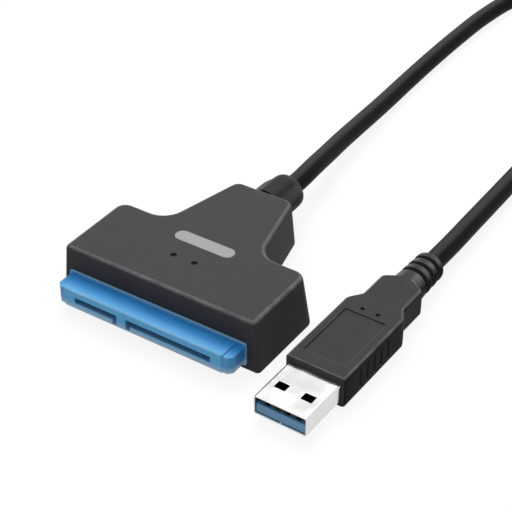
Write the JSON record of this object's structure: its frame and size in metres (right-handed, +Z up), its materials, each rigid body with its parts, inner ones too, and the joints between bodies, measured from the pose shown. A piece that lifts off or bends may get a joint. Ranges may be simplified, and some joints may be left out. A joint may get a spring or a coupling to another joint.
{
  "type": "usb to sata adapter",
  "caption": "T-shaped moulded drive adapter with a keyed blue receptacle, a round cable with moulded strain reliefs and a flat rectangular plug with a ribbed boot.",
  "frame": {"origin": "on the surface the adapter lies on, under the middle of the housing's width and of the length from the receptacle's nose to the tip of the housing's strain relief, cable and plug left out", "axes": "+Z up, -Y out of the receptacle's mouth, +Y along the neck to the cable, +X towards the plug that lies beside the housing"},
  "size_m": [0.0687, 0.2051, 0.0125],
  "materials": {
    "housing": "fine matt moulded ABS, charcoal black",
    "cable_jacket": "semi-gloss soft PVC, black",
    "plug_grip": "satin overmoulded PVC, charcoal black",
    "receptacle": "satin moulded LCP, blue",
    "tongue": "satin moulded LCP, blue",
    "contacts": "gold plated",
    "shell": "bright nickel plate",
    "board": "green solder mask on glass-fibre laminate",
    "chip": "black moulded epoxy",
    "capacitor": "yellow moulded epoxy",
    "ferrite": "grey ferrite",
    "light_pipe": "smoked acrylic",
    "led": "clear to white resin",
    "inner_mould": "natural polyethylene",
    "wire_red": "red PVC",
    "wire_black": "black PVC",
    "wire_white": "white PVC",
    "wire_green": "green PVC",
    "foil": "wrapped foil"
  },
  "bodies": {
    "root": {"housing_top_shell": "housing", "housing_bottom_shell": "housing", "housing_strain_relief": "cable_jacket", "cable": "cable_jacket", "sata_receptacle_body": "receptacle", "signal_contact_1": "contacts", "signal_contact_2": "contacts", "signal_contact_3": "contacts", "signal_contact_4": "contacts", "signal_contact_5": "contacts", "signal_contact_6": "contacts", "signal_contact_7": "contacts", "power_contact_1": "contacts", "power_contact_2": "contacts", "power_contact_3": "contacts", "power_contact_4": "contacts", "power_contact_5": "contacts", "power_contact_6": "contacts", "power_contact_7": "contacts", "power_contact_8": "contacts", "power_contact_9": "contacts", "power_contact_10": "contacts", "power_contact_11": "contacts", "power_contact_12": "contacts", "power_contact_13": "contacts", "power_contact_14": "contacts", "power_contact_15": "contacts", "circuit_board": "board", "bridge_chip": "chip", "flash_chip": "chip", "crystal": "shell", "voltage_regulator": "chip", "power_inductor": "ferrite", "input_capacitor": "capacitor", "output_capacitor": "capacitor", "power_led": "led", "activity_led": "led", "power_light_pipe": "light_pipe", "activity_light_pipe": "light_pipe", "transmit_pair": "foil", "receive_pair": "foil", "data_minus_wire": "wire_white", "data_plus_wire": "wire_green", "power_wire": "wire_red", "ground_wire": "wire_black", "usb_shell": "shell", "usb_tongue": "tongue", "usb2_contact_1": "contacts", "usb2_contact_2": "contacts", "usb2_contact_3": "contacts", "usb2_contact_4": "contacts", "usb3_contact_1": "contacts", "usb3_contact_2": "contacts", "usb3_contact_3": "contacts", "usb3_contact_4": "contacts", "usb3_contact_5": "contacts", "plug_inner_mould": "inner_mould", "plug_overmould": "plug_grip"}
  },
  "joints": []
}
